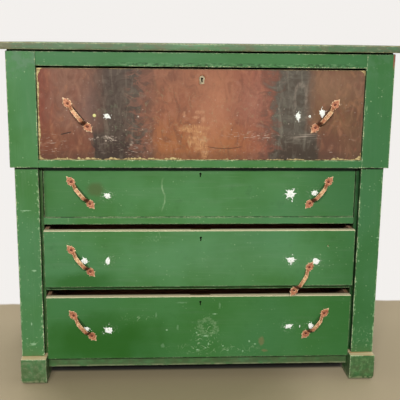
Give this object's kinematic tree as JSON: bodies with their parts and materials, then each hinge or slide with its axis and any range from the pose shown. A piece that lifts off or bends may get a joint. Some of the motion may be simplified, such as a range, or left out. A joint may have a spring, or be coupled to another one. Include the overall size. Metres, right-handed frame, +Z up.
{
  "type": "dresser",
  "caption": "Painted wooden chest with a deep drawer in an overhanging frieze over set-back drawers between pilasters, with slanted bow pulls, for clothes and linen.",
  "frame": {"origin": "on the floor under the middle of the chest", "axes": "+X to the right seen from the front, +Y to the back, +Z up"},
  "size_m": [1.14, 0.547, 1.018],
  "materials": {
    "case_paint": "worn green paint over wood",
    "top_paint": "mottled green paint worn to brown",
    "drawer_paint": "green paint, chipped at the edges",
    "veneer": "dull figured veneer with chipped edges",
    "bare_wood": "bare softwood",
    "back_wood": "rough aged softwood",
    "pull_metal": "worn copper-coloured metal",
    "screw_metal": "rusted",
    "lock_metal": "tarnished"
  },
  "bodies": {
    "case": {"top_board": "top_paint", "frieze_stiles": "case_paint", "frieze_top_rail": "case_paint", "frieze_bottom_rail": "case_paint", "frieze_sides": "case_paint", "front_post_left": "case_paint", "front_post_right": "case_paint", "pilaster_left": "case_paint", "pilaster_right": "case_paint", "rear_posts": "case_paint", "side_panels": "case_paint", "side_rails": "case_paint", "divider_rail_upper": "case_paint", "divider_rail_lower": "case_paint", "base_rail": "case_paint", "back_boards": "back_wood", "front_foot_left": "case_paint", "front_foot_right": "case_paint", "drawer_runners": "bare_wood", "drawer_guides": "bare_wood"},
    "drawer_1": {"drawer_1_front": "veneer", "drawer_1_side_left": "bare_wood", "drawer_1_side_right": "bare_wood", "drawer_1_back": "bare_wood", "drawer_1_bottom": "bare_wood", "drawer_1_pull_left": "pull_metal", "drawer_1_pull_right": "pull_metal", "drawer_1_pull_screws": "screw_metal", "drawer_1_lock": "lock_metal"},
    "lock_bolt_1": {"drawer_1_lock_bolt": "lock_metal"},
    "drawer_2": {"drawer_2_front": "drawer_paint", "drawer_2_side_left": "bare_wood", "drawer_2_side_right": "bare_wood", "drawer_2_back": "bare_wood", "drawer_2_bottom": "bare_wood", "drawer_2_pull_left": "pull_metal", "drawer_2_pull_right": "pull_metal", "drawer_2_pull_screws": "screw_metal", "drawer_2_lock": "lock_metal"},
    "lock_bolt_2": {"drawer_2_lock_bolt": "lock_metal"},
    "drawer_3": {"drawer_3_front": "drawer_paint", "drawer_3_side_left": "bare_wood", "drawer_3_side_right": "bare_wood", "drawer_3_back": "bare_wood", "drawer_3_bottom": "bare_wood", "drawer_3_pull_left": "pull_metal", "drawer_3_pull_screws": "screw_metal", "drawer_3_lock": "lock_metal"},
    "lock_bolt_3": {"drawer_3_lock_bolt": "lock_metal"},
    "drawer_4": {"drawer_4_front": "drawer_paint", "drawer_4_side_left": "bare_wood", "drawer_4_side_right": "bare_wood", "drawer_4_back": "bare_wood", "drawer_4_bottom": "bare_wood", "drawer_4_pull_left": "pull_metal", "drawer_4_pull_right": "pull_metal", "drawer_4_pull_screws": "screw_metal", "drawer_4_lock": "lock_metal"},
    "lock_bolt_4": {"drawer_4_lock_bolt": "lock_metal"},
    "loose_pull": {"drawer_3_pull_right": "pull_metal"}
  },
  "joints": [
    {"name": "drawer_1_slide", "type": "slide", "parent": "case", "child": "drawer_1", "axis": [0, -1, 0], "range_m": [0, 0.35]},
    {"name": "drawer_2_slide", "type": "slide", "parent": "case", "child": "drawer_2", "axis": [0, -1, 0], "range_m": [0, 0.32]},
    {"name": "drawer_3_slide", "type": "slide", "parent": "case", "child": "drawer_3", "axis": [0, -1, 0], "range_m": [-0.034, 0.286]},
    {"name": "drawer_4_slide", "type": "slide", "parent": "case", "child": "drawer_4", "axis": [0, -1, 0], "range_m": [-0.024, 0.296]},
    {"name": "lock_bolt_1_slide", "type": "slide", "parent": "drawer_1", "child": "lock_bolt_1", "axis": [0, 0, 1], "range_m": [0, 0.0096]},
    {"name": "lock_bolt_2_slide", "type": "slide", "parent": "drawer_2", "child": "lock_bolt_2", "axis": [0, 0, 1], "range_m": [0, 0.008]},
    {"name": "lock_bolt_3_slide", "type": "slide", "parent": "drawer_3", "child": "lock_bolt_3", "axis": [0, 0, 1], "range_m": [0, 0.0149]},
    {"name": "lock_bolt_4_slide", "type": "slide", "parent": "drawer_4", "child": "lock_bolt_4", "axis": [0, 0, 1], "range_m": [0, 0.019]},
    {"name": "loose_pull_swing", "type": "hinge", "parent": "drawer_3", "child": "loose_pull", "pos_m": [0.32747, -0.2445, 0.36321], "axis": [0, -1, 0], "range_deg": [-59.3, 171.2]}
  ]
}
